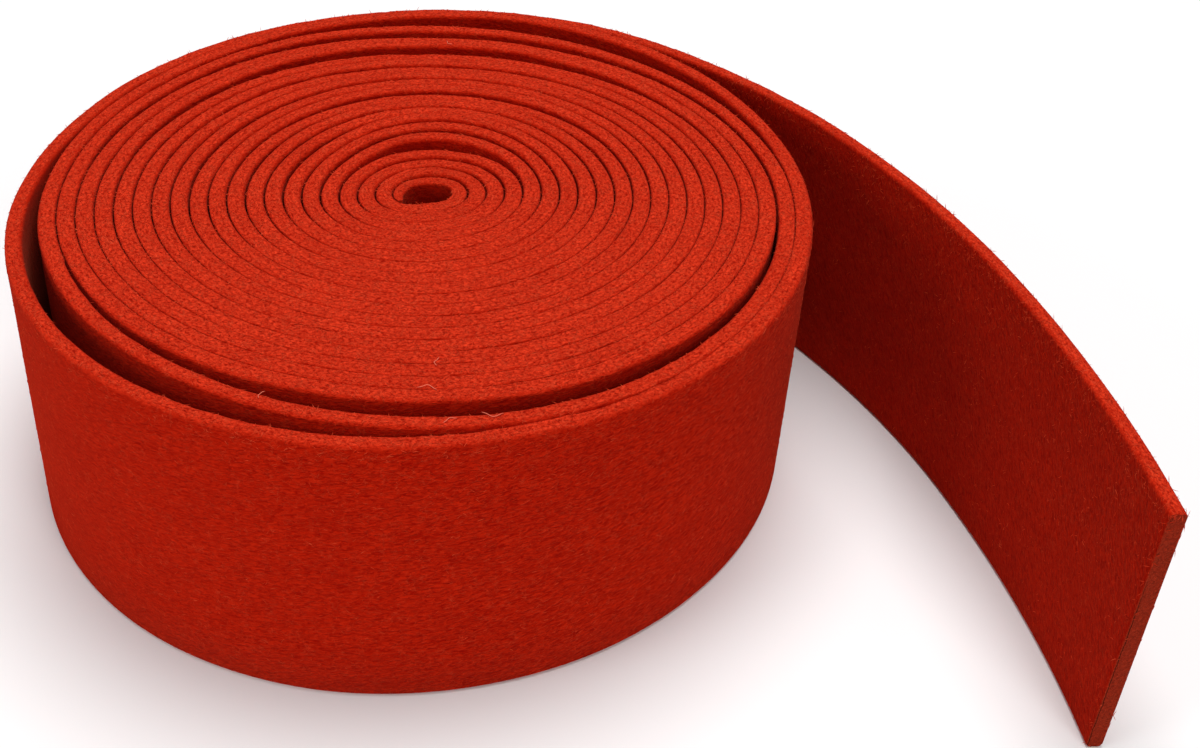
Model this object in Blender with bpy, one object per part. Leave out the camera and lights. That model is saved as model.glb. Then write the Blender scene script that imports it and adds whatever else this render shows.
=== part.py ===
"""A strip of thick felt wound into a roll that stands on its cut edge, with its outer end left loose.

The strip is one piece of felt: the loose end, the outer turns as they really wind, and the close
inner turns as the solid core that those outer turns run into. Angles are in degrees, counter-clockwise
seen from above, and the roll stands on the plane z = 0.
"""

import math

import bmesh
import bpy
import numpy as np
from mathutils import Vector

MM = 0.001

# The strip of felt
STRIP_WIDTH = 50 * MM
FELT_THICKNESS = 2.8 * MM
FELT_RED = (0.56, 0.024, 0.009, 1.0)
FELT_ROUGHNESS = 0.95

# The wound roll. The strip touches it first at the take-off and winds counter-clockwise from there.
# A turn runs from one pass of the take-off to the next, so its directions go from 80 to 440 degrees.
TAKE_OFF_DEG = 80
TURNS_MODELLED = 2 + 120 / 360  # after these the gap between the turns closes into the core
LEAST_GAP = 0.3 * MM
EYE_RADIUS = 3.6 * MM
EYE_CENTRE = Vector((-0.2 * MM, 1.0 * MM))

# Outer face of the outermost turn: the roll isn't round, because the strip was wound by hand.
OUTERMOST_TURN = (
    # degrees wound, radius in mm
    (-15, 72.2),
    (0, 70.4),
    (15, 68.7),
    (30, 67.3),
    (60, 66.1),
    (90, 66.0),
    (120, 67.6),
    (150, 68.2),
    (180, 66.9),
    (210, 64.8),
    (240, 64.2),
    (270, 65.4),
    (300, 67.3),
    (330, 68.3),
    (360, 67.4),
)

# Where a turn stands off from the one inside it
LOOSE_PLACES = (
    # turn, directions in degrees: from, widest, to; opening in mm
    (1, 160, 237, 312, 4.2),
    (1, 372, 440, 486, 2.2),
    (2, 195, 280, 372, 2.7),
    (2, 345, 455, 560, 1.0),
)

# The loose end, from the take-off to its tip
LOOSE_END = (
    # length in mm, bend radius in mm
    (30, 63),
    (40, 122),
    (50, 170),
    (60, 251),
)

WOUND_STEP_DEG = 5
LOOSE_STEP = 4 * MM


def outermost_radius(wound):
    """Radius of the outermost turn's outer face, by cubic curves through the table's rows."""
    degrees, radii = np.array(OUTERMOST_TURN).T
    slopes = np.gradient(radii, degrees)
    row = int(np.clip(np.searchsorted(degrees, wound, side="right") - 1, 0, len(degrees) - 2))
    span = degrees[row + 1] - degrees[row]
    t = (wound - degrees[row]) / span
    start = (1 + 2 * t) * (1 - t) ** 2 * radii[row] + t * (1 - t) ** 2 * span * slopes[row]
    end = t * t * (3 - 2 * t) * radii[row + 1] + t * t * (t - 1) * span * slopes[row + 1]
    return float(start + end) * MM


def gap(wound):
    """Opening between the turn at this place and the turn inside it."""
    opening = LEAST_GAP
    for turn, *directions, most in LOOSE_PLACES:
        first, widest, last = [360 * (turn - 1) + direction - TAKE_OFF_DEG for direction in directions]
        if first < wound < last:
            edge = first if wound < widest else last
            opening += most * MM * (0.5 - 0.5 * math.cos(math.pi * (wound - edge) / (widest - edge)))
    return opening


def outer_radius(wound):
    """Radius of the strip's outer face: each turn lies inside the one before it."""
    if wound <= 360:
        return outermost_radius(wound)
    return outer_radius(wound - 360) - FELT_THICKNESS - gap(wound - 360)


def on_roll(wound, radius):
    angle = math.radians(TAKE_OFF_DEG + wound)
    return Vector((radius * math.cos(angle), radius * math.sin(angle)))


def loose_end_faces():
    """Outer and inner face of the loose end, from the take-off to the tip."""
    point = on_roll(0, outer_radius(0))
    ahead = point - on_roll(2, outer_radius(2))
    heading = math.atan2(ahead.y, ahead.x)
    outer, inner = [], []
    for length, bend_radius in LOOSE_END:
        steps = round(length * MM / LOOSE_STEP)
        turn = -length / bend_radius / steps
        for _ in range(steps):
            heading += turn / 2
            point = point + length * MM / steps * Vector((math.cos(heading), math.sin(heading)))
            heading += turn / 2
            across = Vector((math.sin(heading), -math.cos(heading)))
            outer.append(point)
            inner.append(point + FELT_THICKNESS * across)
    return outer, inner


def strip_outline():
    """The strip seen from above: along its outer face into the roll, and back along its inner face."""
    wound_out = np.arange(0, 360 * (TURNS_MODELLED + 1) + 1, WOUND_STEP_DEG)
    wound_back = np.arange(360 * TURNS_MODELLED, -1, -WOUND_STEP_DEG)
    loose_outer, loose_inner = loose_end_faces()
    outline = loose_outer[::-1]
    outline += [on_roll(wound, outer_radius(wound)) for wound in wound_out]
    outline += [on_roll(wound, outer_radius(wound) - FELT_THICKNESS) for wound in wound_back]
    return outline + loose_inner


def eye_outline(sides=24):
    """The hole left at the middle of the roll."""
    angles = [2 * math.pi * side / sides for side in range(sides)]
    return [EYE_CENTRE + EYE_RADIUS * Vector((math.cos(a), math.sin(a))) for a in angles]


def closed_loop(bm, points):
    verts = [bm.verts.new((point.x, point.y, 0)) for point in points]
    return [bm.edges.new((vert, verts[i - 1])) for i, vert in enumerate(verts)]


def felt_material():
    material = bpy.data.materials.new("felt")
    material.use_nodes = True
    shader = material.node_tree.nodes["Principled BSDF"]
    shader.inputs["Base Color"].default_value = FELT_RED
    shader.inputs["Roughness"].default_value = FELT_ROUGHNESS
    shader.inputs["Metallic"].default_value = 0.0
    material.diffuse_color = FELT_RED
    return material


def felt_roll():
    """The whole strip, its outline raised to the strip's width."""
    bm = bmesh.new()
    edges = closed_loop(bm, strip_outline()) + closed_loop(bm, eye_outline())
    base = bmesh.ops.triangle_fill(bm, edges=edges, use_beauty=True, use_dissolve=False)
    faces = [item for item in base["geom"] if isinstance(item, bmesh.types.BMFace)]
    raised = bmesh.ops.extrude_face_region(bm, geom=faces, use_keep_orig=True)
    top = [item for item in raised["geom"] if isinstance(item, bmesh.types.BMVert)]
    bmesh.ops.translate(bm, verts=top, vec=(0, 0, STRIP_WIDTH))
    bmesh.ops.recalc_face_normals(bm, faces=bm.faces)

    mesh = bpy.data.meshes.new("felt_roll")
    bm.to_mesh(mesh)
    bm.free()
    mesh.shade_smooth()
    mesh.set_sharp_from_angle(angle=math.radians(35))
    mesh.materials.append(felt_material())
    roll = bpy.data.objects.new("felt_roll", mesh)
    bpy.context.scene.collection.objects.link(roll)
    return roll


def centre_over_footprint(roll):
    """Puts the origin at the bottom centre of the box that the roll and its loose end fill."""
    corners = [Vector(corner) for corner in roll.bound_box]
    low, high = min(c.x for c in corners), max(c.x for c in corners)
    near, far = min(c.y for c in corners), max(c.y for c in corners)
    roll.location = (-(low + high) / 2, -(near + far) / 2, 0)


def main():
    for obj in list(bpy.data.objects):
        bpy.data.objects.remove(obj, do_unlink=True)
    centre_over_footprint(felt_roll())


main()
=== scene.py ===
"""A strip of thick felt wound by hand into a roll that stands on its cut edge, its outer end left loose.

The strip is one sheet: it starts at the tip of the loose end, meets the roll at the take-off and
winds counter-clockwise into the middle. Directions are in degrees, counter-clockwise seen from
above, and a turn runs from one pass of the take-off to the next.
"""

import math

import bmesh
import bpy
import numpy as np
from mathutils import Matrix, Vector, noise


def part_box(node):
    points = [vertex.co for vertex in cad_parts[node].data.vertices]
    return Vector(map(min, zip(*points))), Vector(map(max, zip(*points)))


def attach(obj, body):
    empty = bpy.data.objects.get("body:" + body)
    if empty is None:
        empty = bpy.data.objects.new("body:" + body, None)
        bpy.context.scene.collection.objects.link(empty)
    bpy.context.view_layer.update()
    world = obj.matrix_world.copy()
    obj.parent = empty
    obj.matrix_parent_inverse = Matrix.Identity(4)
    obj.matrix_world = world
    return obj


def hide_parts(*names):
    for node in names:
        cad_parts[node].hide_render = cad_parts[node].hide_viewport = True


bl_info = {
    "name": "Roll of felt",
    "version": (1, 0, 0),
    "blender": (4, 5, 0),
    "location": "View3D > Sidebar > Felt",
    "description": "Winds a strip of thick felt into a hand-wound roll with a loose end",
    "category": "Add Mesh",
}

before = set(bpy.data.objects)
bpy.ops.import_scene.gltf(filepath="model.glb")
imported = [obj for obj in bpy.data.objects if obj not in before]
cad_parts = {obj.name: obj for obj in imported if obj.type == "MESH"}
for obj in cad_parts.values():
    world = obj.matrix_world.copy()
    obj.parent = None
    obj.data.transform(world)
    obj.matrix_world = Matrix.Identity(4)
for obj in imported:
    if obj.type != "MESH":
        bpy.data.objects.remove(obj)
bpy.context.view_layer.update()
CAD_NODE = "felt_roll"
STRIP_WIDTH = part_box(CAD_NODE)[1][2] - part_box(CAD_NODE)[0][2]

MM = 0.001
TAKE_OFF_DEG = 80
TOUCHING = 0.02  # mm between two turns that press on each other

# Outer face of the outermost turn: the roll isn't round, because the strip was wound by hand.
OUTERMOST_TURN = (
    # degrees wound, radius in mm
    (-15, 72.2),
    (0, 70.4),
    (15, 68.7),
    (30, 67.3),
    (60, 66.1),
    (90, 66.0),
    (120, 67.6),
    (150, 68.2),
    (180, 66.9),
    (210, 64.8),
    (240, 64.2),
    (270, 65.4),
    (300, 67.3),
    (330, 68.3),
    (360, 67.4),
)

# The loose end, from the take-off to its tip
LOOSE_END = (
    # length in mm, bend radius in mm
    (30, 64.6),
    (40, 122),
    (50, 163),
    (60.85, 251),
)

# Where a turn stands off from the one inside it
LOOSE_PLACES = (
    # turn, directions in degrees: from, widest, to; opening in mm
    (1, 160, 237, 312, 4.4),
    (1, 372, 440, 486, 2.6),
    (2, 195, 280, 372, 3.7),
    (2, 345, 455, 540, 1.1),
    (3, 130, 165, 200, 0.25),
    (4, 385, 455, 540, 1.2),
    (5, 120, 160, 200, 0.3),
    (6, 90, 140, 195, 0.3),
    (9, 85, 145, 205, 0.45),
    (10, 365, 455, 545, 0.3),
    (11, 380, 405, 430, 0.4),
    (12, 115, 160, 200, 0.35),
    (13, 100, 137, 180, 0.3),
    (14, 105, 142, 190, 0.8),
    (15, 385, 445, 490, 0.8),
    (16, 95, 130, 190, 0.7),
    (16, 395, 450, 500, 0.8),
    (18, 395, 430, 480, 0.3),
)

# Where the cut edges of a turn stand up from those beside it
RAISED_PLACES = (
    # turn, directions in degrees: from, widest, to; rise in mm
    (1, 60, 90, 160, 0.2),
    (2, 0, 82, 170, 1.35),
    (2, 185, 275, 350, 0.7),
    (3, 20, 90, 170, 0.5),
    (5, 10, 90, 180, 0.9),
    (7, 0, 90, 200, 0.5),
    (8, 0, 90, 190, 0.25),
    (9, 10, 90, 180, 0.9),
    (10, 10, 90, 180, 0.9),
    (11, 0, 90, 190, 1.3),
    (12, 10, 90, 180, 0.9),
    (13, 0, 90, 190, 1.5),
    (14, 0, 90, 190, 1.5),
    (15, 0, 90, 190, 2.0),
    (16, 0, 90, 190, 1.8),
    (17, 0, 90, 190, 1.8),
    (18, 10, 90, 180, 0.3),
    (20, 10, 90, 180, 0.3),
)

# Where the outer turns lean in over the turns inside them
LEANING_PLACES = (
    # turn, directions in degrees: from, widest, to; lean over the strip's whole width in mm
    (1, 200, 270, 350, 1.9),
)

# Stray fibres that lie on the upper cut edges
STRAY_FIBRES = (
    # direction in degrees, distance from the roll's axis in mm, length in mm, heading in degrees
    (278, 51.0, 3.0, 0),
    (281, 59.3, 2.2, 40),
    (287, 58.6, 3.2, 175),
    (254, 58.0, 1.8, 70),
    (92, 53.0, 1.8, 130),
    (280, 45.0, 2.0, 80),
)


# The fibres lie across the strip near its loose end, and along it further in.
SLANT_ENDS_AT = 360  # mm from the tip
SLANT_FADES_OVER = 120

# The inner end of the strip is thinner, and its very end is rounded.
THINNED_LENGTH = 30  # mm
THINNED_TO = 0.72
ROUNDED_LENGTH = 4  # mm
LEAN_FOOT = 0.2  # share of the lean by which the foot of a leaning turn stands out
WANDER = 0.08  # mm by which the gaps between turns wander
SQUEEZED = 0.08  # mm that the felt is thinner where it's wound loosely
TIP_INSET = 0.12  # mm that the corners of the outer end are worn back

OPEN_GAP = 3.0  # mm, taken where there is no turn beside the strip
PRESSED_GAP = 0.35  # mm: in a gap narrower than this the turns' fibres meet
RAGGED = 0.2  # mm by which the upper cut edge is uneven
MOST_DEGREES_PER_STATION = 7.0

# One section across the strip: heights up its faces as shares of its width, and places on its cut edge
OUTER_HEIGHTS = (0.012, 0.2, 0.4, 0.6, 0.8, 0.95)
INNER_HEIGHTS = (0.95, 0.8, 0.5, 0.012)
CORNER_ANGLES = (0, 22, 45, 68, 90)
EDGE_SHARES = (0.25, 0.5, 0.75)
FOOT_SHARES = (0.8, 0.2)

# Stretches of the skin: places round a ring, as ring_profile gives them
OUTER_FACE = (0.3, 6.0)
UPPER_EDGE = (8.5, 15.5)
INNER_FACE = (18.0, 22.0)
TOP_PLACES = slice(8, 17)

# Fuzz
EDGE_SPREAD, FACE_SPREAD = 1.1, 0.5  # radians by which fibres turn from the strip's length
FIBRE_LIFT = 0.07  # mm
SUNK = 0.04  # mm by which a fibre's root lies in the felt
SLANTED_LAY = math.radians(55)

# Stray fibres
STRAY_STATIONS = 15
STRAY_SIDES = 5
STRAY_RADIUS = 0.055  # mm
STRAY_CLEARANCE = 0.12  # mm above the cut edges

# Materials
RUBBED_FROM = (240.0, 290.0)  # mm from the tip: from nothing to fully rubbed
RUBBED_TO = (420.0, 330.0)
INNER_FACE_FROM = (1.2, 1.6)  # mm across the strip: the inner half of its thickness, whose faces get painted shade
SHADE_LINE_PLACE = 2.85  # mm across the strip, with the wandering of the painted line of shade
# Painted shade: the colour of the dark line along the cut end
SHADE_LINE_COLOUR = (0.03, 0.002, 0.001, 1.0)

# Studio
FLOOR_REACH = 4.0  # m
LIGHT_TARGET = (0, 0, 0.03)
KEY_PLACE, KEY_SIZE = (0.02, 0.22, 1.12), 0.8
LEFT_PLACE, LEFT_SIZE = (-0.90, -0.50, 0.50), 0.5
RIGHT_PLACE, RIGHT_SIZE = (0.45, -0.85, 0.75), 0.6


def swell(wound, places):
    """Sum of the table's rows at each place: each rises from nothing to its widest and falls back."""
    wound = np.asarray(wound, float)
    total = np.zeros_like(wound)
    for turn, *directions, most in places:
        first, widest, last = [360 * (turn - 1) + direction - TAKE_OFF_DEG for direction in directions]
        edge = np.where(wound < widest, first, last)
        bump = 0.5 - 0.5 * np.cos(math.pi * (wound - edge) / (widest - edge))
        total += np.where((wound > first) & (wound < last), most * bump, 0.0)
    return total


def outermost_radius(wound):
    """Radius of the outermost turn's outer face in mm, by cubic curves through the table's rows."""
    degrees, radii = np.array(OUTERMOST_TURN).T
    slopes = np.gradient(radii, degrees)
    row = np.clip(np.searchsorted(degrees, wound, side="right") - 1, 0, len(degrees) - 2)
    span = degrees[row + 1] - degrees[row]
    t = (wound - degrees[row]) / span
    start = (1 + 2 * t) * (1 - t) ** 2 * radii[row] + t * (1 - t) ** 2 * span * slopes[row]
    end = t * t * (3 - 2 * t) * radii[row + 1] + t * t * (t - 1) * span * slopes[row + 1]
    return start + end


def even_gap(wound):
    """Gap between two turns that are wound tight, in mm: it is a little wider at the near side."""
    turn = np.radians(TAKE_OFF_DEG + wound)
    tight_left = 0.05 * np.clip(-np.cos(turn + 0.35), 0, 1) ** 4
    return 0.157 + 0.045 * np.cos(turn) - 0.07 * np.sin(turn) + 0.058 * np.cos(2 * turn) - tight_left


def gap(wound):
    """Gap in mm between the turn at each place and the turn inside it, which wanders as hand winding does."""
    wound = np.asarray(wound, float)
    wander = WANDER * rough(np.stack([0.6 * wound, 0 * wound, 0 * wound], 1), 9, 4)
    return np.maximum(even_gap(wound) + swell(wound, LOOSE_PLACES) + wander, TOUCHING)


def smoothed(values, sigma):
    reach = int(3 * sigma)
    weights = np.exp(-0.5 * (np.arange(-reach, reach + 1) / sigma) ** 2)
    padded = np.pad(values, reach, mode="reflect", reflect_type="odd")
    return np.convolve(padded, weights / weights.sum(), mode="valid")


def wound_radii(turns, thickness, step=2):
    """Degrees wound and outer radius in mm, from the take-off to the inner end of the strip."""
    wound = np.arange(0, 360 * turns + step, step, dtype=float)
    per_turn = 360 // step
    gaps = gap(wound)
    radii = np.array(outermost_radius(wound))
    for first in range(per_turn, len(wound), per_turn):
        turn = slice(first, min(first + per_turn, len(wound)))
        outside = slice(turn.start - per_turn, turn.stop - per_turn)
        radii[turn] = radii[outside] - thickness - gaps[outside]
        # Felt can't kink, so a turn is smoother than the sum of the openings outside it.
        sigma = 1 + first / per_turn * 0.35
        soft = smoothed(radii[: turn.stop], sigma)[turn]
        radii[turn] = np.minimum(soft, radii[outside] - thickness - TOUCHING)
    return wound, radii


def polar(degrees, radius):
    angle = np.radians(TAKE_OFF_DEG + np.asarray(degrees))
    return np.stack([radius * np.cos(angle), radius * np.sin(angle)], axis=-1)


def loose_end_path(spacing):
    """Outer face of the loose end, tip to take-off, and the way across to its inner face."""
    start, before = polar(np.array([0.0, 2.0]), outermost_radius(np.array([0.0, 2.0])))
    heading = math.atan2(*(start - before)[::-1])
    points, across = [], []
    point = start
    for length, bend_radius in LOOSE_END:
        steps = round(length / spacing)
        turn = -length / bend_radius / steps
        for _ in range(steps):
            heading += turn / 2
            point = point + length / steps * np.array([math.cos(heading), math.sin(heading)])
            heading += turn / 2
            points.append(point)
            across.append([math.sin(heading), -math.cos(heading)])
    points.append(point + TIP_INSET * np.array([math.cos(heading), math.sin(heading)]))
    across.append(across[-1])
    return np.array(points[::-1]), np.array(across[::-1])


def strip_path(shape):
    """For each station along the strip: outer point, way across to the inner face, degrees wound."""
    thickness = shape.thickness / MM
    spacing = shape.spacing / MM
    wound, radii = wound_radii(shape.turns, thickness)
    stations = [0.0]
    while stations[-1] < 360 * shape.turns:
        radius = np.interp(stations[-1], wound, radii)
        stations.append(stations[-1] + min(math.degrees(spacing / radius), MOST_DEGREES_PER_STATION))
    stations = np.array(stations[:-1])
    on_roll = polar(stations, np.interp(stations, wound, radii))
    loose, across = loose_end_path(spacing)
    points = np.concatenate([loose, on_roll])
    across = np.concatenate([across, -polar(stations, 1.0)])
    before = np.linspace(-90, -90 / len(loose), len(loose))
    return points, across, np.concatenate([before, stations])


def ring_profile(thickness, corner_out, corner_in, height):
    """One section across the strip, in mm, round from the foot of the outer face.

    It gives the places across and up, and the share to which each is cut edge. corner_out and
    corner_in are the roundings of the upper cut edge, with one value for each station.
    """
    arc = np.radians(CORNER_ANGLES)
    rows = []
    for share in OUTER_HEIGHTS:
        rows.append((0 * corner_out, share * height, 0))
    for angle in arc:
        in_by, down_by = corner_out * (1 - np.cos(angle)), corner_out * (1 - np.sin(angle))
        rows.append((in_by, height - down_by, angle / arc[-1]))
    for share in EDGE_SHARES:
        rows.append((corner_out + share * (thickness - corner_out - corner_in), height, 1))
    for angle in arc[::-1]:
        in_by, down_by = corner_in * (1 - np.cos(angle)), corner_in * (1 - np.sin(angle))
        rows.append((thickness - in_by, height - down_by, angle / arc[-1]))
    for share in INNER_HEIGHTS:
        rows.append((thickness, share * height, 0))
    for share in FOOT_SHARES:
        rows.append((share * thickness, 0 * height, 1))
    across = np.stack([np.broadcast_to(row[0], height.shape) for row in rows], axis=1)
    up = np.stack([np.broadcast_to(row[1], height.shape) for row in rows], axis=1)
    cut = np.array([row[2] for row in rows])
    return across, up, cut


def rough(points, size, seed):
    """Smooth noise from about -1 to 1 at each point, with features of about this size."""
    shift = Vector((seed * 17.3, seed * 5.1, seed * 9.7))
    return np.array([noise.noise(Vector(p) / size + shift) for p in points])


def strip_grid(shape):
    """Corner points of the strip's skin in mm, and the place of each on the flat strip."""
    points, across, wound = strip_path(shape)
    thickness = shape.thickness / MM
    along = np.concatenate([[0], np.cumsum(np.linalg.norm(np.diff(points, axis=0), axis=1))])
    gap_in = np.where(wound < 0, OPEN_GAP, gap(wound))
    outside = wound - 360
    gap_out = np.where(outside < 0, OPEN_GAP, gap(outside))
    on_line = np.stack([along, 0 * along, 0 * along], 1)
    height = np.full(len(points), STRIP_WIDTH / MM) + 0.12 * rough(on_line, 11, 1)
    rise = swell(wound, RAISED_PLACES)
    rounding = shape.rounding / MM
    left_over = along[-1] - along
    taper = THINNED_TO + (1 - THINNED_TO) * np.clip(left_over / THINNED_LENGTH, 0, 1)
    taper *= 0.3 + 0.7 * np.sqrt(np.clip(left_over / ROUNDED_LENGTH, 0, 1))
    # The turns press on each other at the near side and the right, and have room at the back.
    facing = np.radians(TAKE_OFF_DEG + wound)
    near = np.clip(0.6 - np.sin(facing) + 0.3 * np.cos(facing), 0, 1)
    worn = 0.9 - 0.55 * near
    free_out, free_in = [np.clip(beside / 0.7 - 0.2, 0, 1) for beside in (gap_out, gap_in)]
    corner_out = rounding * (worn + (1 - worn) * free_out) * taper
    corner_in = rounding * (worn + (1 - worn) * free_in) * taper
    # Where turns press on each other the felt's fibres fill the gap between them.
    narrow = gap_in < PRESSED_GAP
    pressed = near * narrow
    filling = np.where(narrow, gap_in - TOUCHING, 0) * pressed
    filled = taper * (thickness - SQUEEZED * (1 - near) + filling)
    depth, up, cut = ring_profile(filled, corner_out, corner_in, height)
    cut = np.tile(cut, (len(points), 1))
    cut[[0, -1]] = 1
    depth[0] = np.clip(depth[0], TIP_INSET, thickness - TIP_INSET)
    up[0] = np.clip(up[0], 0, height[0] - TIP_INSET)
    lean = swell(wound, LEANING_PLACES)
    flat = np.stack([np.broadcast_to(along[:, None], depth.shape), depth, up], axis=-1)
    shifted = depth + lean[:, None] * (up / height[:, None] - LEAN_FOOT)
    # Ragged cut edge and slightly uneven faces
    count = depth.size
    ragged = rough(flat.reshape(count, 3), 1.9, 2).reshape(depth.shape)
    uneven = rough(flat.reshape(count, 3) * (0.35, 1, 0.5), 7.0, 3).reshape(depth.shape)
    top = (up > 0.9 * height[:, None]) * cut
    lifted = up + RAGGED * ragged * top + rise[:, None] * np.clip(up / 2, 0, 1)
    loose = 1 - 0.7 * pressed[:, None]
    side = (0.07 * ragged * (up > 0.8 * height[:, None]) + 0.05 * uneven) * loose
    shifted = shifted + side
    xy = points[:, None, :] + across[:, None, :] * shifted[:, :, None]
    corners = np.concatenate([xy, lifted[:, :, None]], axis=-1)
    middle = points + across * thickness / 2
    length = np.linalg.norm(np.diff(middle, axis=0), axis=1).sum()
    return corners, flat, cut, length


def strip_shift(shape):
    """The shift in mm that puts the left and the back of the roll where the frame has them."""
    points = strip_path(shape)[0]
    box_low, box_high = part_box(CAD_NODE)
    return np.array([box_low[0] / MM - points[:, 0].min(), box_high[1] / MM - points[:, 1].max()])


def wound_strip(shape):
    """The strip's skin in its place on the frame, in mm, with what strip_grid gives."""
    corners, flat, cut, length = strip_grid(shape)
    corners[:, :, :2] += strip_shift(shape)
    return corners, flat, cut, length


def new_object(name, mesh):
    piece = bpy.data.objects.new(name, mesh)
    bpy.context.scene.collection.objects.link(piece)
    return piece


def closed_tube(corners):
    """Faces of a skin whose rows are rings: sides between rings and a flat face at each end."""
    rows, ring = corners.shape[:2]
    faces = []
    for row in range(rows - 1):
        here, there = row * ring, (row + 1) * ring
        faces += [(here + k, here + (k + 1) % ring, there + (k + 1) % ring, there + k) for k in range(ring)]
    faces.append(tuple(range(ring - 1, -1, -1)))
    faces.append(tuple((rows - 1) * ring + k for k in range(ring)))
    return faces


def build_strip(shape):
    corners, flat, cut, length = wound_strip(shape)
    rows, ring = corners.shape[:2]
    mesh = bpy.data.meshes.new("felt_strip")
    mesh.from_pydata((corners.reshape(-1, 3) * MM).tolist(), [], closed_tube(corners))
    place = mesh.attributes.new("strip_place", "FLOAT_VECTOR", "POINT")
    place.data.foreach_set("vector", flat.reshape(-1).astype(np.float32))
    edge = mesh.attributes.new("cut_edge", "FLOAT", "POINT")
    edge.data.foreach_set("value", cut.reshape(-1).astype(np.float32))
    end = mesh.attributes.new("cut_end", "FLOAT", "POINT")
    end.data.foreach_set("value", np.repeat(np.arange(rows) == 0, ring).astype(np.float32))
    slant = mesh.attributes.new("slant", "FLOAT", "POINT")
    slanted = np.clip((SLANT_ENDS_AT - flat[:, 0, 0]) / SLANT_FADES_OVER, 0, 1)
    slant.data.foreach_set("value", np.repeat(slanted, ring).astype(np.float32))
    bm = bmesh.new()
    bm.from_mesh(mesh)
    if bm.calc_volume(signed=True) < 0:
        bmesh.ops.reverse_faces(bm, faces=bm.faces)
    bm.to_mesh(mesh)
    bm.free()
    mesh.shade_smooth()
    for polygon in list(mesh.polygons)[-2:]:
        polygon.use_smooth = False
    return new_object("felt_strip", mesh), length


def on_skin(corners, flat, row, around):
    """Points on the strip's skin at fractional rows and ring places, with the ways along and out."""
    row = np.clip(row, 0, len(corners) - 1.001)
    i, k = row.astype(int), around.astype(int)
    s, t = (row - i)[:, None], (around - k)[:, None]
    here = (1 - t) * corners[i, k] + t * corners[i, k + 1]
    there = (1 - t) * corners[i + 1, k] + t * corners[i + 1, k + 1]
    along = there - here
    round_it = corners[i, k + 1] - corners[i, k]
    along /= np.linalg.norm(along, axis=1)[:, None] + 1e-9
    round_it /= np.linalg.norm(round_it, axis=1)[:, None] + 1e-9
    out = np.cross(round_it, along)
    out /= np.linalg.norm(out, axis=1)[:, None] + 1e-9
    out *= np.where((out * (here - corners[i].mean(axis=1))).sum(axis=1) < 0, -1, 1)[:, None]
    return (1 - s) * here + s * there, flat[i, k], along, out


def slivers(base, along, out, heading, length, lift, curl, radius):
    """Thin closed fibres, each with a tip at both ends and two rings of three points between them."""
    side = np.cross(out, along)
    lay = np.cos(heading)[:, None] * along + np.sin(heading)[:, None] * side
    off = np.cross(out, lay)
    points = []
    for share, thick in ((0, 0), (0.33, 1), (0.67, 1), (1, 0)):
        centre = base + lay * (length * share)[:, None] + off * (curl * share**2)[:, None]
        centre = centre + out * (lift * math.sin(2.2 * share) - SUNK)[:, None]
        if not thick:
            points.append(centre[:, None])
            continue
        for k in range(3):
            angle = 2 * math.pi * k / 3
            outward = off * math.cos(angle) + out * math.sin(angle)
            points.append((centre + radius[:, None] * outward)[:, None])
    verts = np.concatenate(points, axis=1)
    pattern = []
    for k in range(3):
        n = (k + 1) % 3
        pattern += [(0, 1 + n, 1 + k), (1 + k, 1 + n, 4 + n), (1 + k, 4 + n, 4 + k), (7, 4 + k, 4 + n)]
    faces = np.arange(len(verts))[:, None, None] * 8 + np.array(pattern)
    return verts, faces.reshape(-1, 3)


def build_fuzz(name, shape, seed, count, stretch, heading_spread, width):
    """Loose fibres on one stretch of the strip: shares of its stations, and places round the ring."""
    corners, flat, _, _ = wound_strip(shape)
    dice = np.random.RandomState(seed)
    (first, last), (low, high) = stretch
    row = (first + (last - first) * dice.rand(count)) * (len(corners) - 1)
    around = low + (high - low) * dice.rand(count)
    base, place, along, out = on_skin(corners, flat, row, around)
    slanted = np.clip((SLANT_ENDS_AT - place[:, 0]) / SLANT_FADES_OVER, 0, 1)
    # On the cut edge fibres near its rims lie along it; on the faces they slant near the loose end.
    on_edge = heading_spread == EDGE_SPREAD
    rim = np.abs(2 * around - low - high) / (high - low) * on_edge
    heading = dice.normal(0, heading_spread, count) * (1 - 0.7 * rim)
    heading = heading + math.pi * dice.randint(0, 2, count)
    heading += SLANTED_LAY * slanted * (not on_edge)
    length = (0.5 + 1.1 * dice.rand(count) ** 1.5) * (1 - 0.3 * rim)
    verts, faces = slivers(
        base, along, out, heading, length, FIBRE_LIFT * dice.rand(count) ** 2,
        dice.normal(0, 0.35, count), width * (0.7 + 0.6 * dice.rand(count)),
    )
    # A fibre near the foot of the strip lies on the floor, not in it.
    verts[:, :, 2] += np.maximum(-verts[:, :, 2].min(axis=1), 0)[:, None]
    mesh = bpy.data.meshes.new(name)
    mesh.from_pydata((verts.reshape(-1, 3) * MM).tolist(), [], faces.tolist())
    spot = mesh.attributes.new("strip_place", "FLOAT_VECTOR", "POINT")
    spot.data.foreach_set("vector", np.repeat(place, 8, axis=0).reshape(-1).astype(np.float32))
    mesh.shade_smooth()
    return new_object(name, mesh)


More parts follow.
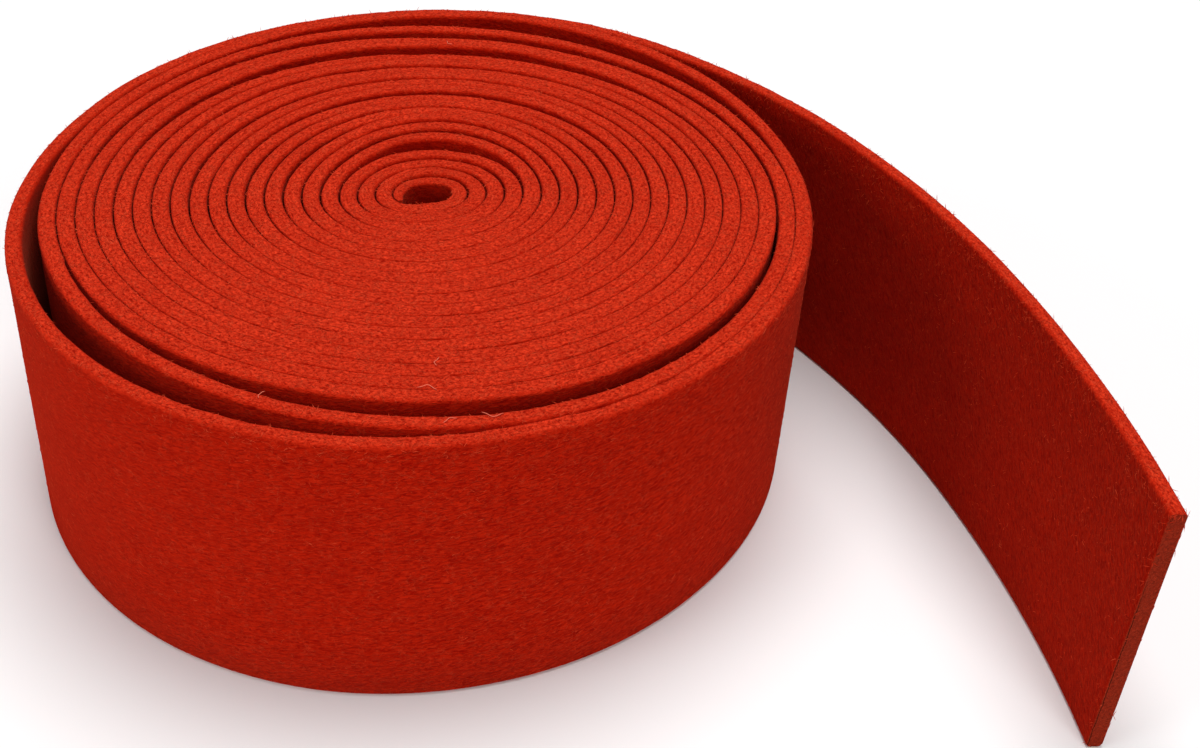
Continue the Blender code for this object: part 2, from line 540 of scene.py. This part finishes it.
def build_stray_fibres(shape):
    """Longer fibres that lie across the upper cut edges."""
    corners, _, _, _ = wound_strip(shape)
    tops = corners[:, TOP_PLACES].reshape(-1, 3)
    centre = strip_shift(shape)
    dice = np.random.RandomState(11)
    bm = bmesh.new()
    for direction, distance, length, heading in STRAY_FIBRES:
        angle, way = math.radians(direction), math.radians(heading)
        middle = centre + distance * np.array([math.cos(angle), math.sin(angle)])
        ahead = np.array([math.cos(way), math.sin(way)])
        aside = np.array([-math.sin(way), math.cos(way)])
        phase = dice.rand() * 6
        path = []
        for share in np.linspace(-0.5, 0.5, STRAY_STATIONS):
            wave = length * (0.16 * math.cos(4 * share) + 0.05 * math.sin(9 * share + phase))
            spot = middle + ahead * share * length + aside * wave
            near = np.abs(tops[:, :2] - spot).sum(axis=1).argsort()[:6]
            path.append((spot[0], spot[1], tops[near, 2].max()))
        path = np.array(path)
        path[:, 2] = np.maximum(smoothed(path[:, 2], 1.4), path[:, 2]) + STRAY_CLEARANCE
        rings = []
        for step, point in enumerate(path):
            ends = min(step, len(path) - 1 - step)
            thick = STRAY_RADIUS * min(1, 0.35 + 0.3 * ends)
            forward = path[min(step + 1, STRAY_STATIONS - 1)] - path[max(step - 1, 0)]
            forward /= np.linalg.norm(forward)
            across = np.cross(forward, (0, 0, 1))
            up = np.cross(across, forward)
            angles = np.arange(STRAY_SIDES) * 2 * math.pi / STRAY_SIDES
            ring = [point + thick * (across * math.cos(a) + up * math.sin(a)) for a in angles]
            rings.append([bm.verts.new(Vector(corner) * MM) for corner in ring])
        for here, there in zip(rings, rings[1:]):
            for k in range(STRAY_SIDES):
                n = (k + 1) % STRAY_SIDES
                bm.faces.new((here[k], here[n], there[n], there[k]))
        bm.faces.new(rings[0][::-1])
        bm.faces.new(rings[-1])
    bmesh.ops.recalc_face_normals(bm, faces=bm.faces)
    mesh = bpy.data.meshes.new("stray_fibres")
    bm.to_mesh(mesh)
    bm.free()
    mesh.shade_smooth()
    return new_object("stray_fibres", mesh)


# ---------------------------------------------------------------- materials


class Nodes:
    """Short calls for building a node tree."""

    def __init__(self, tree):
        self.tree = tree

    def add(self, kind, **settings):
        node = self.tree.nodes.new(kind)
        inputs = settings.pop("inputs", {})
        for key, value in settings.items():
            setattr(node, key, value)
        for key, value in inputs.items():
            if isinstance(value, bpy.types.NodeSocket):
                self.tree.links.new(value, node.inputs[key])
            else:
                node.inputs[key].default_value = value
        return node

    def math(self, operation, first, second=0.0, clamp=False):
        inputs = {0: first, 1: second}
        return self.add("ShaderNodeMath", operation=operation, use_clamp=clamp, inputs=inputs).outputs[0]

    def stretch(self, vector, scale, shift=(0, 0, 0)):
        inputs = {0: vector, 1: scale, 2: shift}
        return self.add("ShaderNodeVectorMath", operation="MULTIPLY_ADD", inputs=inputs).outputs[0]

    def noise(self, vector, scale, detail=2.0, roughness=0.5, distortion=0.0):
        settings = {"Vector": vector, "Scale": scale, "Detail": detail, "Roughness": roughness}
        settings["Distortion"] = distortion
        return self.add("ShaderNodeTexNoise", inputs=settings).outputs["Fac"]

    def ramp(self, value, low, high):
        node = self.add("ShaderNodeMapRange", inputs={0: value, 1: low, 2: high})
        return node.outputs[0]

    def mix(self, share, first, second, blend="MIX"):
        node = self.add("ShaderNodeMix", data_type="RGBA", blend_type=blend, clamp_result=True)
        for socket, value in ((node.inputs[0], share), (node.inputs[6], first), (node.inputs[7], second)):
            if isinstance(value, bpy.types.NodeSocket):
                self.tree.links.new(value, socket)
            else:
                socket.default_value = value
        return node.outputs[2]

    def blend(self, share, first, second):
        """Plain numbers or values mixed by a share."""
        node = self.add("ShaderNodeMix", data_type="FLOAT", inputs={0: share, 2: first, 3: second})
        return node.outputs[0]


def matted_fibres(nodes, vector, scale, width):
    """Thin winding lines, where a smooth noise passes its middle value."""
    field = nodes.noise(vector, scale, detail=1.5, roughness=0.45, distortion=0.3)
    off = nodes.math("ABSOLUTE", nodes.math("SUBTRACT", field, 0.5))
    return nodes.math("SUBTRACT", 1.0, nodes.math("DIVIDE", off, width), clamp=True)


def streaks(nodes, place, angle, size, detail=2.0):
    """Noise drawn out along fibres that lie at this angle to the strip's length, on its faces."""
    inputs = {"Vector": place, "Angle": math.radians(angle)}
    turned = nodes.add("ShaderNodeVectorRotate", rotation_type="Y_AXIS", inputs=inputs).outputs[0]
    drawn = nodes.stretch(turned, (0.3, 1.0, 1.0))
    return nodes.noise(drawn, 1 / size, detail=detail, roughness=0.65, distortion=1.2)


def felt_material(colours):
    material = bpy.data.materials.new("red felt")
    material.use_nodes = True
    tree = material.node_tree
    tree.nodes.clear()
    nodes = Nodes(tree)
    place = nodes.add("ShaderNodeAttribute", attribute_name="strip_place").outputs["Vector"]
    cut = nodes.add("ShaderNodeAttribute", attribute_name="cut_edge").outputs["Fac"]
    slant = nodes.add("ShaderNodeAttribute", attribute_name="slant").outputs["Fac"]
    end = nodes.add("ShaderNodeAttribute", attribute_name="cut_end").outputs["Fac"]

    # Cut edges are a fine even grain of fibre ends. On the faces the fibres are pressed flat.
    edge_place = nodes.stretch(place, (0.7, 1.0, 1.0))
    edge_grain = nodes.noise(edge_place, 2.2, detail=3.0, roughness=0.75, distortion=0.6)
    face_grain = nodes.blend(slant, streaks(nodes, place, 8, 0.4), streaks(nodes, place, 52, 0.4))
    # The outermost turn is rubbed smooth where it has been held.
    along = nodes.add("ShaderNodeSeparateXYZ", inputs={0: place}).outputs
    starts, stops = nodes.ramp(along[0], *RUBBED_FROM), nodes.ramp(along[0], *RUBBED_TO)
    rubbed = nodes.math("MULTIPLY", starts, stops)
    face_grain = nodes.blend(nodes.math("MULTIPLY", rubbed, 0.55), face_grain, 0.52)
    grain = nodes.blend(cut, face_grain, edge_grain)
    lines = matted_fibres(nodes, nodes.stretch(place, (0.8, 1.0, 1.0)), 1.1, 0.04)
    patches = nodes.ramp(nodes.noise(place, 0.5, detail=2.0), 0.45, 0.62)
    lines = nodes.math("MULTIPLY", nodes.math("MULTIPLY", lines, patches), nodes.blend(cut, 0.5, 1.0))
    mottle = nodes.noise(nodes.stretch(place, (0.4, 1.0, 1.0)), 0.14, detail=3.0)

    share = nodes.ramp(grain, 0.36, 0.64)
    edge_colour = nodes.mix(share, tuple(colours.edge_deep), tuple(colours.edge_bright))
    face_colour = nodes.mix(share, tuple(colours.face_deep), tuple(colours.face_bright))
    colour = nodes.mix(cut, face_colour, edge_colour)
    # Painted highlight: the matted fibre lines are mixed towards a pale colour, as fibres that catch the
    # light; they are bumps as well.
    lit = nodes.mix(nodes.math("MULTIPLY", lines, 0.45), colour, tuple(colours.fibre))
    worn = nodes.math("MULTIPLY", nodes.ramp(mottle, 0.35, 0.7), 0.2)
    tone = nodes.mix(worn, lit, tuple(colours.worn))
    # Painted shade: the inner half of the faces is multiplied by a darker colour, as the inner faces get less
    # light.
    on_face = nodes.math("SUBTRACT", 1.0, cut)
    inner = nodes.math("MULTIPLY", nodes.ramp(along[1], *INNER_FACE_FROM), on_face)
    tone = nodes.mix(inner, tone, tuple(colours.inner_painted_shade), blend="MULTIPLY")
    # The cut end is duller, with a painted dark line of shade, like a fine split, beside the inner face.
    tone = nodes.mix(nodes.math("MULTIPLY", end, 0.6), tone, tuple(colours.end))
    # Painted shade: a thin wandering dark line down the lower part of the cut end
    up_only = nodes.stretch(place, (0.0, 0.0, 1.0))
    wander = nodes.math("MULTIPLY", nodes.noise(up_only, 0.35, detail=4.0), 0.7)
    off = nodes.math("ABSOLUTE", nodes.math("SUBTRACT", nodes.math("ADD", along[1], wander), SHADE_LINE_PLACE))
    shade_line = nodes.math("MULTIPLY", nodes.ramp(off, 0.09, 0.03), nodes.ramp(along[2], 40.0, 30.0))
    tone = nodes.mix(nodes.math("MULTIPLY", shade_line, nodes.ramp(end, 0.5, 0.9)), tone, SHADE_LINE_COLOUR)

    relief = nodes.math("MULTIPLY", grain, nodes.blend(cut, 0.7, 1.0))
    height = nodes.math("ADD", relief, nodes.math("MULTIPLY", lines, 0.3))
    bump = nodes.add("ShaderNodeBump", inputs={"Strength": 0.9, "Distance": 0.0005, "Height": height})
    felt_shader(nodes, {"Base Color": tone, "Normal": bump.outputs[0]})
    return material


def felt_shader(nodes, inputs):
    """Felt takes the light almost evenly, with a faint sheen of fibre ends and no gloss."""
    shader = nodes.add("ShaderNodeBsdfPrincipled", inputs=inputs)
    shader.inputs["Roughness"].default_value = 0.95
    shader.inputs["Specular IOR Level"].default_value = 0.0
    shader.inputs["Sheen Weight"].default_value = 0.07
    shader.inputs["Sheen Roughness"].default_value = 0.45
    shader.inputs["Sheen Tint"].default_value = (1.0, 0.38, 0.22, 1.0)
    output = nodes.add("ShaderNodeOutputMaterial")
    nodes.tree.links.new(shader.outputs[0], output.inputs[0])


def fuzz_material(name, dull, bright):
    """Loose fibres, whose colour changes slowly along the strip."""
    material = bpy.data.materials.new(name)
    material.use_nodes = True
    material.node_tree.nodes.clear()
    nodes = Nodes(material.node_tree)
    place = nodes.add("ShaderNodeAttribute", attribute_name="strip_place").outputs["Vector"]
    grain = nodes.noise(place, 0.45, detail=3.0, roughness=0.6)
    tone = nodes.mix(nodes.ramp(grain, 0.35, 0.65), tuple(dull), tuple(bright))
    bump = nodes.add("ShaderNodeBump", inputs={"Strength": 0.3, "Distance": 0.0001, "Height": grain})
    felt_shader(nodes, {"Base Color": tone, "Normal": bump.outputs[0]})
    return material


def plain_material(name, colour, roughness):
    material = bpy.data.materials.new(name)
    material.use_nodes = True
    shader = material.node_tree.nodes["Principled BSDF"]
    shader.inputs["Base Color"].default_value = colour
    shader.inputs["Roughness"].default_value = roughness
    return material


# ---------------------------------------------------------------- settings


class FeltStripSettings(bpy.types.PropertyGroup):
    thickness: bpy.props.FloatProperty(
        name="Thickness", description="Thickness of the felt as wound",
        default=0.0028, min=0.001, unit="LENGTH",
    )
    turns: bpy.props.FloatProperty(
        name="Turns", description="Times that the strip goes round, from the take-off to its inner end",
        default=20.36,
    )
    rounding: bpy.props.FloatProperty(
        name="Rounding", description="How far the cut edges are worn round", default=0.0007, unit="LENGTH"
    )
    spacing: bpy.props.FloatProperty(
        name="Spacing", description="Distance between the sections of the strip's skin",
        default=0.0013, unit="LENGTH",
    )


class FeltColourSettings(bpy.types.PropertyGroup):
    edge_bright: bpy.props.FloatVectorProperty(
        name="Cut edge", description="Colour of the cut edges' raised fibres",
        subtype="COLOR", size=4, default=(0.80, 0.046, 0.014, 1.0), min=0.0, max=1.0,
    )
    edge_deep: bpy.props.FloatVectorProperty(
        name="Cut edge, deep", description="Colour between the fibres of the cut edges",
        subtype="COLOR", size=4, default=(0.30, 0.004, 0.0006, 1.0), min=0.0, max=1.0,
    )
    face_bright: bpy.props.FloatVectorProperty(
        name="Face", description="Colour of the faces' fibres",
        subtype="COLOR", size=4, default=(0.57, 0.016, 0.003, 1.0), min=0.0, max=1.0,
    )
    face_deep: bpy.props.FloatVectorProperty(
        name="Face, deep", description="Colour between the fibres of the faces",
        subtype="COLOR", size=4, default=(0.31, 0.003, 0.0004, 1.0), min=0.0, max=1.0,
    )
    # Painted highlight: the pale colour of the matted fibre lines that catch the light
    fibre: bpy.props.FloatVectorProperty(
        name="Loose fibre", description="Colour of fibres that stand clear of the rest",
        subtype="COLOR", size=4, default=(0.90, 0.085, 0.030, 1.0), min=0.0, max=1.0,
    )
    # Painted shade for the inner faces, which get less light
    inner_painted_shade: bpy.props.FloatVectorProperty(
        name="Inner face", description="What the face colour is multiplied by on the inner face",
        subtype="COLOR", size=4, default=(0.75, 0.60, 0.5, 1.0), min=0.0, max=1.0,
    )
    end: bpy.props.FloatVectorProperty(
        name="Cut end", description="Dull colour of the cut at the loose end",
        subtype="COLOR", size=4, default=(0.15, 0.02, 0.009, 1.0), min=0.0, max=1.0,
    )
    worn: bpy.props.FloatVectorProperty(
        name="Worn", description="Colour of the patches that are pressed and worn",
        subtype="COLOR", size=4, default=(0.32, 0.004, 0.001, 1.0), min=0.0, max=1.0,
    )


class FuzzSettings(bpy.types.PropertyGroup):
    edge_count: bpy.props.IntProperty(
        name="Cut edge fibres", description="Loose fibres on each half of the upper cut edges",
        default=13000, min=0,
    )
    face_count: bpy.props.IntProperty(
        name="Face fibres", description="Loose fibres on the outermost faces", default=14000, min=0
    )
    width: bpy.props.FloatProperty(
        name="Fibre width", description="Half the width of a loose fibre", default=0.00005, unit="LENGTH"
    )
    dull: bpy.props.FloatVectorProperty(
        name="Fibre, dull", description="Colour of the loose fibres where the felt is dull",
        subtype="COLOR", size=4, default=(0.52, 0.018, 0.004, 1.0), min=0.0, max=1.0,
    )
    bright: bpy.props.FloatVectorProperty(
        name="Fibre, bright", description="Colour of the loose fibres where the felt is bright",
        subtype="COLOR", size=4, default=(0.72, 0.070, 0.026, 1.0), min=0.0, max=1.0,
    )
    stray: bpy.props.FloatVectorProperty(
        name="Stray fibre", description="Colour of the few pale fibres on the cut edges",
        subtype="COLOR", size=4, default=(0.90, 0.30, 0.20, 1.0), min=0.0, max=1.0,
    )


class StudioSettings(bpy.types.PropertyGroup):
    lens: bpy.props.FloatProperty(
        name="Lens", description="Focal length in mm on a 36 mm sensor", default=51.55
    )
    stand_point: bpy.props.FloatVectorProperty(
        name="Camera place", description="Where the camera stands", size=3, subtype="TRANSLATION",
        default=(0.00807, -0.24541, 0.209),
    )
    pitch: bpy.props.FloatProperty(
        name="Pitch", description="How far the camera looks down",
        default=math.radians(38.53), subtype="ANGLE",
    )
    roll: bpy.props.FloatProperty(
        name="Roll", description="How far the camera is turned about its own line of sight",
        default=math.radians(4.46), subtype="ANGLE",
    )
    floor_colour: bpy.props.FloatVectorProperty(
        name="Floor", description="Colour of the floor", subtype="COLOR", size=4, default=(0.9, 0.9, 0.9, 1.0)
    )
    key_power: bpy.props.FloatProperty(
        name="Key light", description="Power of the main light", default=11.2, unit="POWER"
    )
    left_power: bpy.props.FloatProperty(
        name="Left light", description="Power of the light at the left", default=2.7, unit="POWER"
    )
    right_power: bpy.props.FloatProperty(
        name="Right light", description="Power of the light at the right", default=4.0, unit="POWER"
    )
    sky_strength: bpy.props.FloatProperty(
        name="Sky", description="Strength of the light from all round", default=0.2
    )


# ---------------------------------------------------------------- operators


def area_light(name, place, size, power):
    """A round lamp that shines at the roll."""
    light = bpy.data.lights.new(name, "AREA")
    light.shape = "DISK"
    light.size = size
    light.energy = power
    lamp = bpy.data.objects.new(name, light)
    lamp.location = place
    towards = Vector(LIGHT_TARGET) - Vector(place)
    lamp.rotation_euler = towards.to_track_quat("-Z", "Y").to_euler()
    bpy.context.scene.collection.objects.link(lamp)


class FELT_OT_studio(bpy.types.Operator):
    """Adds the floor, the lights and the camera"""

    bl_idname = "felt.studio"
    bl_label = "Floor, lights and camera"

    def execute(self, context):
        studio = context.scene.felt_studio
        camera = bpy.data.objects.new("camera", bpy.data.cameras.new("camera"))
        context.scene.collection.objects.link(camera)
        camera.data.sensor_width = 36
        camera.data.lens = studio.lens
        camera.data.clip_start = 0.01
        turned = Matrix.Rotation(math.pi / 2 - studio.pitch, 4, "X") @ Matrix.Rotation(studio.roll, 4, "Z")
        camera.matrix_world = Matrix.Translation(studio.stand_point) @ turned
        context.scene.camera = camera

        mesh = bpy.data.meshes.new("floor")
        far = FLOOR_REACH
        mesh.from_pydata([(-far, -far, 0), (far, -far, 0), (far, far, 0), (-far, far, 0)], [], [(0, 1, 2, 3)])
        mesh.materials.append(plain_material("pale floor", studio.floor_colour, 0.8))
        new_object("floor", mesh)

        area_light("key light", KEY_PLACE, KEY_SIZE, studio.key_power)
        area_light("left light", LEFT_PLACE, LEFT_SIZE, studio.left_power)
        area_light("right light", RIGHT_PLACE, RIGHT_SIZE, studio.right_power)
        world = bpy.data.worlds.new("studio")
        world.use_nodes = True
        background = world.node_tree.nodes["Background"]
        background.inputs["Color"].default_value = (1.0, 1.0, 1.0, 1.0)
        background.inputs["Strength"].default_value = studio.sky_strength
        context.scene.world = world
        context.scene.view_settings.view_transform = "Standard"
        return {"FINISHED"}


class FELT_OT_fuzz(bpy.types.Operator):
    """Adds the fuzz of loose fibres on the cut edges and the outermost faces"""

    bl_idname = "felt.fuzz"
    bl_label = "Fuzz"

    def execute(self, context):
        shape, fuzz = context.scene.felt_strip, context.scene.felt_fuzz
        material = fuzz_material("loose red fibres", fuzz.dull, fuzz.bright)
        width = fuzz.width / MM
        for name, seed, count, stretch, spread in (
            ("edge_fuzz_outer", 3, fuzz.edge_count, ((0.0, 0.42), UPPER_EDGE), EDGE_SPREAD),
            ("edge_fuzz_inner", 4, fuzz.edge_count, ((0.42, 1.0), UPPER_EDGE), EDGE_SPREAD),
            ("face_fuzz_outer", 5, fuzz.face_count, ((0.0, 0.135), OUTER_FACE), FACE_SPREAD),
            ("face_fuzz_inner", 6, fuzz.face_count // 3, ((0.0, 0.04), INNER_FACE), FACE_SPREAD),
        ):
            piece = build_fuzz(name, shape, seed, count, stretch, spread, width)
            piece.data.materials.append(material)
            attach(piece, "root")
        return {"FINISHED"}


class FELT_OT_stray_fibres(bpy.types.Operator):
    """Lays a few pale fibres on the cut edges"""

    bl_idname = "felt.stray_fibres"
    bl_label = "Stray fibres"

    def execute(self, context):
        stray = build_stray_fibres(context.scene.felt_strip)
        fuzz = context.scene.felt_fuzz
        stray.data.materials.append(fuzz_material("pale stray fibres", fuzz.bright, fuzz.stray))
        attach(stray, "root")
        return {"FINISHED"}


class FELT_OT_strip(bpy.types.Operator):
    """Winds the strip of felt"""

    bl_idname = "felt.strip"
    bl_label = "Felt strip"

    def execute(self, context):
        shape = context.scene.felt_strip
        strip, length = build_strip(shape)
        strip.data.materials.append(felt_material(context.scene.felt_colours))
        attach(strip, "root")
        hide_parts(CAD_NODE)
        return {"FINISHED"}


class FELT_PT_panel(bpy.types.Panel):
    """Lists the pieces of the roll of felt"""

    bl_idname = "FELT_PT_panel"
    bl_label = "Roll of felt"
    bl_space_type = "VIEW_3D"
    bl_region_type = "UI"
    bl_category = "Felt"

    def draw(self, context):
        for group in SETTINGS:
            settings = getattr(context.scene, group)
            box = self.layout.box()
            for name in settings.__annotations__:
                box.prop(settings, name)
        for operator in OPERATORS:
            self.layout.operator(operator.bl_idname)


SETTINGS = {
    "felt_strip": FeltStripSettings,
    "felt_colours": FeltColourSettings,
    "felt_fuzz": FuzzSettings,
    "felt_studio": StudioSettings,
}
OPERATORS = (FELT_OT_studio, FELT_OT_fuzz, FELT_OT_stray_fibres, FELT_OT_strip)


def register():
    for name, group in SETTINGS.items():
        bpy.utils.register_class(group)
        setattr(bpy.types.Scene, name, bpy.props.PointerProperty(type=group))
    for cls in (*OPERATORS, FELT_PT_panel):
        bpy.utils.register_class(cls)


def unregister():
    for cls in (FELT_PT_panel, *reversed(OPERATORS)):
        bpy.utils.unregister_class(cls)
    for name, group in SETTINGS.items():
        delattr(bpy.types.Scene, name)
        bpy.utils.unregister_class(group)


def main():
    register()
    bpy.ops.felt.studio()
    bpy.ops.felt.fuzz()
    bpy.ops.felt.stray_fibres()
    bpy.ops.felt.strip()


if __name__ == "__main__":
    main()
